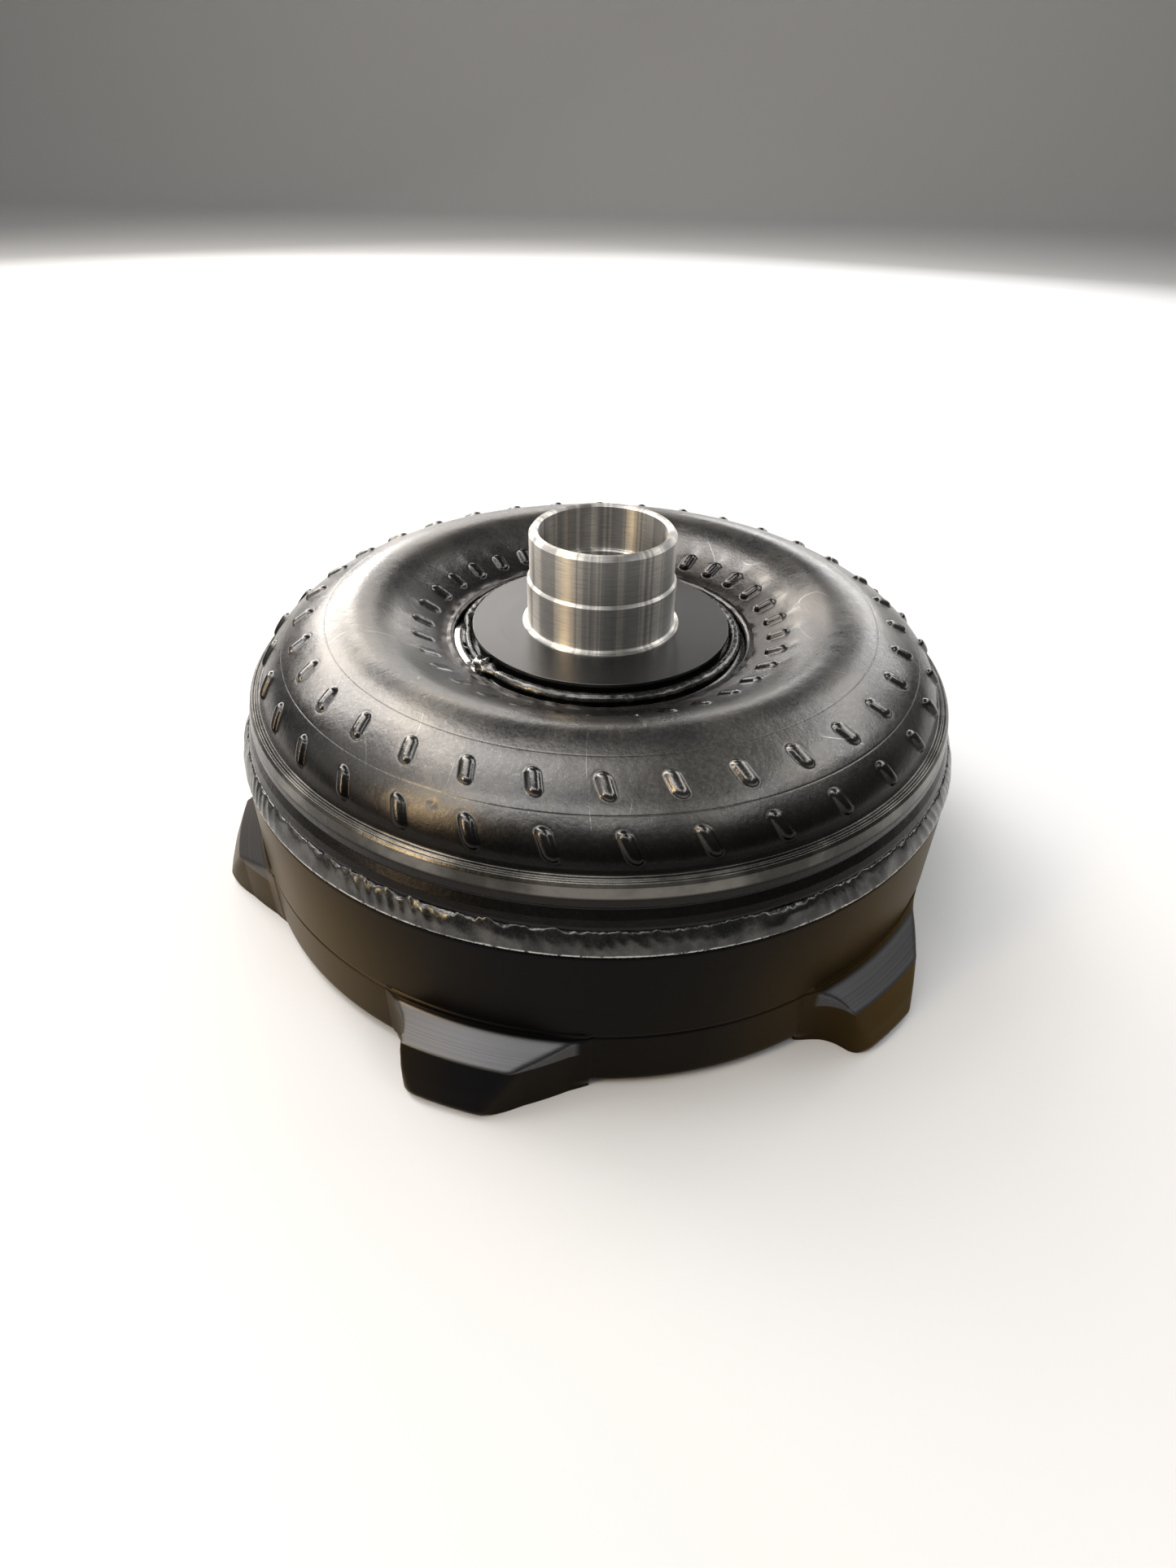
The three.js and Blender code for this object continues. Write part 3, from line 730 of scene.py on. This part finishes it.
def cover_columns():
    """Each column's angle round the cover, and its angle from its own lug."""
    fine = np.radians(np.arange(-14.5, 16.01, 0.27))
    wide = np.radians(np.linspace(16, 45.5, 26))[1:-1]
    local = np.concatenate([fine, wide])
    lugs = np.arange(LUG_COUNT)[:, None] * 2 * math.pi / LUG_COUNT
    return (lugs + local[None] + FIRST_LUG).ravel(), np.tile(local, LUG_COUNT)


def cover_outside(local):
    """Heights of the rows and the radius of every point of the wall with its lugs."""
    plan = np.vstack([curve(STEEP_FLANK, 0.8), rounded(STRAIGHT_FLANK)])
    plan_angle, plan_r = np.arctan2(plan[:, 1], plan[:, 0]), np.hypot(*plan.T)
    order = np.argsort(plan_angle)
    reach = np.interp(local, plan_angle[order], plan_r[order], left=100, right=100)
    section = rounded(LUG_PROFILE, steps=8)[::-1]
    wall = rounded(WALL_PROFILE, steps=6)
    heights = np.concatenate([
        np.arange(0, 4.2, 0.3), np.arange(4.2, 15, 0.9), np.arange(15, 19.2, 0.25),
        np.arange(19.2, 21, 0.45), np.arange(21, 23.2, 0.25), np.arange(23.2, 24.5, 0.11),
        np.arange(24.5, LUG_TOP, 0.4), np.arange(LUG_TOP, 56.8, 2.6),
        [56.8, 57.1, 57.35, 57.6, 57.8, 57.9, 58],
    ])[:, None]
    lug_r = np.interp(heights, section[:, 1], section[:, 0])
    wall_r = np.interp(heights, wall[:, 1], wall[:, 0])
    lug = soft_min(np.broadcast_to(lug_r, (len(heights), len(local))), reach[None], 1.6)
    lug = np.where(heights > LUG_TOP - 2, 0, lug)
    return heights, np.where(heights > LUG_TOP, wall_r, soft_max(wall_r, lug, 2.2))


def make_cover():
    angles, local = cover_columns()
    heights, radius = cover_outside(local)
    lift = RIM_LIFT * (1 - smoothstep((radius[0] - 126.2) / 3))
    outer_z = heights + lift[None] * np.clip(1 - heights / 6, 0, 1)
    share = np.array([0.985, 0.95, 0.85, 0.7, 0.55, 0.4, 0.25, 0.12, 0.04, 0])[:, None]
    under_r = PAD_INNER_R + (radius[:1] - PAD_INNER_R) * share
    floor = rounded(FLOOR_PROFILE, steps=6)
    floor[0] = (110.6, 1.15)
    bore = rounded(BORE_PROFILE, steps=6)
    rows = [
        around(bore[:, :1], bore[:, 1:], angles[None]),
        around(radius[::-1], outer_z[::-1], angles[None]),
        around(under_r, lift[None], angles[None]),
        around(floor[:, :1], floor[:, 1:], angles[None]),
    ]
    cover = skin("lugged_cover", np.concatenate(rows), ring=False)
    cutters = []
    for i in range(LUG_COUNT):
        drill = lathe(f"drill_{i}", rounded(DRILL_PROFILE), 48, ring=False)
        turn = FIRST_LUG + i * 2 * math.pi / LUG_COUNT
        place = Vector((math.cos(turn), math.sin(turn), 0)) * BOLT_CIRCLE_R * MM
        drill.data.transform(Matrix.Translation(place))
        cutters.append(drill)
    return drilled(cover, cutters)


def drilled(piece, cutters):
    """The piece with every cutter taken out of it, and the cutters gone."""
    view_layer = bpy.context.view_layer
    for cutter in cutters:
        cut = piece.modifiers.new("cut", "BOOLEAN")
        cut.solver = "EXACT"
        cut.object = cutter
    view_layer.update()
    evaluated = piece.evaluated_get(bpy.context.evaluated_depsgraph_get())
    mesh = bpy.data.meshes.new_from_object(evaluated)
    piece.modifiers.clear()
    piece.data = mesh
    for cutter in cutters:
        bpy.data.objects.remove(cutter)
    mesh.set_sharp_from_angle(angle=math.radians(40))
    return piece


show(make_cover(), finishes["cover_black"].material, "front_cover")

# ---------------------------------------------------------------- crank pilot

PILOT_PROFILE = [
    (4, 13.7), (12, 13.7, 0.4), (12, 9.7), (21.6, 9.7, 0.3), (21.6, 0.8, 1.6), (9, 0.8, 0.5),
    (7.6, 3.2, 0.6), (3, 3.4),
]

pilot = lathe("pilot_boss", rounded(PILOT_PROFILE), 128, ring=False)
show(pilot, finishes["turned_steel"].material, "crank_pilot")

# ---------------------------------------------------------------- welds


# Where the seam bead was stopped and started again: degrees round, half spread and height.
SEAM_LUMPS = ((-108.8, 2.4, 0.9), (-64.8, 3.2, 1.2), (62, 2.4, 0.7), (171, 2.2, 0.6))
SEAM_FOOT = np.array((129.15, 58.2))
SEAM_TOP = np.array((126.2, 65.4))
SEAM_OUTWARD = np.array((0.925, 0.38))
SEAM_POOLS = 190  # crescents round the whole seam
SEAM_BACK = [(125.9, 65.3), (123.2, 60), (123.2, 58.25), (128.8, 58.15)]

HUB_BEAD_R = 48.4
HUB_BEAD_Z = 89.2
HUB_BEAD_SIZE = 2.2
HUB_BEAD_START = -143  # degrees round, where the bead starts and ends in a lump
HUB_BEAD_FOOT = [(50.2, 87.0), (52.5, 86.9, 0.2), (52.5, 86.2), (45.9, 86.2)]


def make_seam_weld():
    columns = 1500
    angle = np.arange(columns)[None] * 2 * math.pi / columns
    share = np.linspace(0, 1, 21)[:, None]
    edge = Ripple(21, 30, (9, 110), (0, 0.01))
    jag = Ripple(22, 40, (120, 420), (0, 0.01))
    reach = share * (1 + (0.05 * edge(angle, 0) + 0.02 * jag(angle, 0)) * share**5)
    r = SEAM_FOOT[0] + (SEAM_TOP[0] - SEAM_FOOT[0]) * reach
    z = SEAM_FOOT[1] + (SEAM_TOP[1] - SEAM_FOOT[1]) * reach
    crown = 4 * share * (1 - share)
    # Crescents left by the weld pool lean back along the seam, between smooth stretches.
    sway = 1.5 * Ripple(23, 10, (5, 50), (0, 2))(angle, share)
    swirl = SEAM_POOLS * angle + 5.5 * share + 4 * (share - 0.5) ** 2 + sway
    stretch = np.clip(0.5 + 0.5 * Ripple(26, 8, (5, 26), (0, 2))(angle, share), 0, 1)
    pool = (0.5 + 0.5 * np.sin(swirl)) ** 1.5 * stretch
    lumps = Ripple(24, 30, (12, 80), (1, 6))(angle, share)
    broad = Ripple(25, 12, (3, 14), (0, 2))(angle, share)
    out = crown**0.5 * (0.7 + 0.30 * pool + 0.09 * lumps + 0.08 * broad)
    for place, spread, size in SEAM_LUMPS:
        gap = (np.degrees(angle) - place + 180) % 360 - 180
        out = out + size * crown * np.exp(-((gap / spread) ** 2)) * (0.8 + 0.3 * lumps)
    rows = around(r + SEAM_OUTWARD[0] * out, z + SEAM_OUTWARD[1] * out, angle)
    back = rounded(SEAM_BACK)
    return skin("seam_bead", np.concatenate([rows, around(back[:, :1], back[:, 1:], angle)]))


def make_hub_weld():
    """A round bead beside the flange, with long ripples, that starts and ends in a lump."""
    columns = 900
    angle = np.arange(columns)[None] * 2 * math.pi / columns
    turn = np.radians(np.linspace(200, -50, 26))[:, None]
    rough = Ripple(31, 50, (20, 90), (1, 4))(angle, turn)
    long_lines = Ripple(32, 12, (1, 14), (10, 22))(angle, turn)
    size = HUB_BEAD_SIZE + 0.035 * rough + 0.06 * long_lines
    gap = (np.degrees(angle) - HUB_BEAD_START + 180) % 360 - 180
    lump = np.exp(-((gap / 4.5) ** 2))
    dip = np.exp(-(((gap - 8.5) / 2.0) ** 2))
    # Behind the lump the bead runs low for a stretch and leaves the lip bare.
    low = smoothstep((-gap - 3) / 4) * smoothstep((gap + 44) / 10)
    size = size * (1 + 0.25 * lump + 0.18 * lump * rough - 0.45 * low) - 0.7 * dip
    r = HUB_BEAD_R + size * np.cos(turn) + 0.9 * lump - 0.8 * low
    z = HUB_BEAD_Z + size * np.sin(turn) + 0.5 * lump - 0.9 * low
    foot = rounded(HUB_BEAD_FOOT)
    lift = np.array([1.0] * (len(foot) - 2) + [0, 0])[:, None]
    foot_rows = around(foot[:, :1], foot[:, 1:] + 1.9 * low * lift, angle)
    return skin("hub_bead", np.concatenate([around(r, z, angle), foot_rows]))


show(make_seam_weld(), finishes["weld_bead"].material, "seam_weld")
show(make_hub_weld(), finishes["weld_bead"].material, "hub_weld")

# ---------------------------------------------------------------- impeller hub

HUB_OUTLINE = [
    (20.4, 87.4, 0.5), (44.6, 87.4, 0.3), (44.6, 92.0, 0.3), (45.8, 92.1, 0.15), (45.8, 93.3, 0.2),
    (28.0, 93.3, 0.12), (27.8, 93.9, 0.25), (27.0, 93.9, 0.2), (26.1, 94.6, 0.6), (26.1, 109.5, 0.15),
    (25.2, 110.5, 0.2), (25.2, 125.5, 0.12), (24.1, 127, 0.12), (22.7, 127, 0.12), (22, 126.3, 0.12),
    (22, 110.8, 0.25), (20.9, 110.8, 0.12), (20.4, 110.3, 0.12),
]
FLANGE_INNER_R = 27.95


def make_hub():
    hub = lathe("pump_hub", rounded(HUB_OUTLINE, closed=True), 320)
    show(hub, finishes["turned_steel"].material, "impeller_hub")
    hub.data.materials.append(flange_finish.material)
    for face in hub.data.polygons:
        if math.hypot(*face.center[:2]) > FLANGE_INNER_R * MM:
            face.material_index = 1


make_hub()

# ---------------------------------------------------------------- stage


# In metres.
FLOOR_SIDE = 5.0
FLOOR_DROP = 0.0002
WALL_Y = 2.6
WALL_SWEEP = 0.9
WALL_TOP = 3.2
WALL_STEPS = 16


def make_floor():
    """A pale floor that sweeps up into a backdrop."""
    line = [(-FLOOR_SIDE, 0.0)]
    for i in range(WALL_STEPS + 1):
        turn = math.radians(90 * i / WALL_STEPS)
        line.append((WALL_Y + WALL_SWEEP * math.sin(turn), WALL_SWEEP * (1 - math.cos(turn))))
    line.append((WALL_Y + WALL_SWEEP, WALL_TOP))
    verts = [(x, y, z) for y, z in line for x in (-FLOOR_SIDE, FLOOR_SIDE)]
    faces = [(2 * i, 2 * i + 1, 2 * i + 3, 2 * i + 2) for i in range(len(line) - 1)]
    mesh = bpy.data.meshes.new("floor")
    mesh.from_pydata(verts, [], faces)
    mesh.shade_smooth()
    floor = bpy.data.objects.new("floor", mesh)
    floor.location.z = -FLOOR_DROP
    bpy.context.scene.collection.objects.link(floor)
    f = Finish("floor_paint", (0.62, 0.62, 0.62), 0.7, 0.0)
    f.set("Specular IOR Level", 0.2)
    floor.data.materials.append(f.material)


LIGHT_REACH = 1.8
LIGHT_AIM = Vector((0, 0, 0.08))
WHITE = (1, 1, 1)
CREAM = (1, 0.96, 0.92)
WARM = (1, 0.74, 0.42)
# Each soft box: azimuth, elevation, width and height in degrees, radiance and colour.
LIGHTS = {
    "window_left": (143, 38, 22, 30, 9.5, CREAM),
    "window_left_low": (121, 18, 22, 14, 11.0, CREAM),
    "window_left_top": (158, 60, 26, 16, 7.0, CREAM),
    "ceiling_left": (170, 73, 24, 12, 3.0, WHITE),
    "ceiling_middle": (150, 82, 22, 22, 3.0, WHITE),
    "ceiling_front": (-108, 63, 44, 14, 4.0, WHITE),
    "front_left_high": (-140, 52, 20, 16, 3.0, WHITE),
    "back_low_left": (102, 9, 30, 8, 3.5, WHITE),
    "back_low_right": (70, 12, 26, 9, 7.0, WHITE),
    "back_middle": (103, 27, 26, 14, 4.5, CREAM),
    "right_back": (32, 39, 34, 16, 4.6, WHITE),
    "right_low": (48, 20, 18, 12, 5.0, WHITE),
    "right_front": (-15, 50, 44, 10, 3.6, WHITE),
    "lamp_left": (-146, 27, 8, 26, 15.0, WARM),
    "left_fill": (-165, 38, 40, 24, 1.1, WHITE),
    "left_low": (-170, 14, 40, 14, 1.0, CREAM),
}
ROOM_STRENGTH = 0.16


def make_light(name, azimuth, elevation, width, height, radiance, color):
    """A soft box seen from the part in that direction and that wide and high, all in degrees."""
    around_z, above = math.radians(azimuth), math.radians(elevation)
    level = math.cos(above)
    toward = Vector((math.cos(around_z) * level, math.sin(around_z) * level, math.sin(above)))
    data = bpy.data.lights.new(name, "AREA")
    data.shape = "RECTANGLE"
    data.size = 2 * LIGHT_REACH * math.tan(math.radians(width / 2))
    data.size_y = 2 * LIGHT_REACH * math.tan(math.radians(height / 2))
    data.energy = radiance * math.pi * data.size * data.size_y
    data.color = color
    light = bpy.data.objects.new(name, data)
    light.location = LIGHT_AIM + LIGHT_REACH * toward
    light.rotation_euler = (-toward).to_track_quat("-Z", "Y").to_euler()
    light.visible_camera = False
    bpy.context.scene.collection.objects.link(light)


def make_world():
    world = bpy.data.worlds.new("studio")
    bpy.context.scene.world = world
    world.use_nodes = True
    back = world.node_tree.nodes["Background"]
    back.inputs["Color"].default_value = (1, 0.98, 0.96, 1)
    back.inputs["Strength"].default_value = ROOM_STRENGTH


make_floor()
make_world()
for light_name, settings in LIGHTS.items():
    make_light(light_name, *settings)
bpy.context.scene.view_settings.view_transform = "Standard"
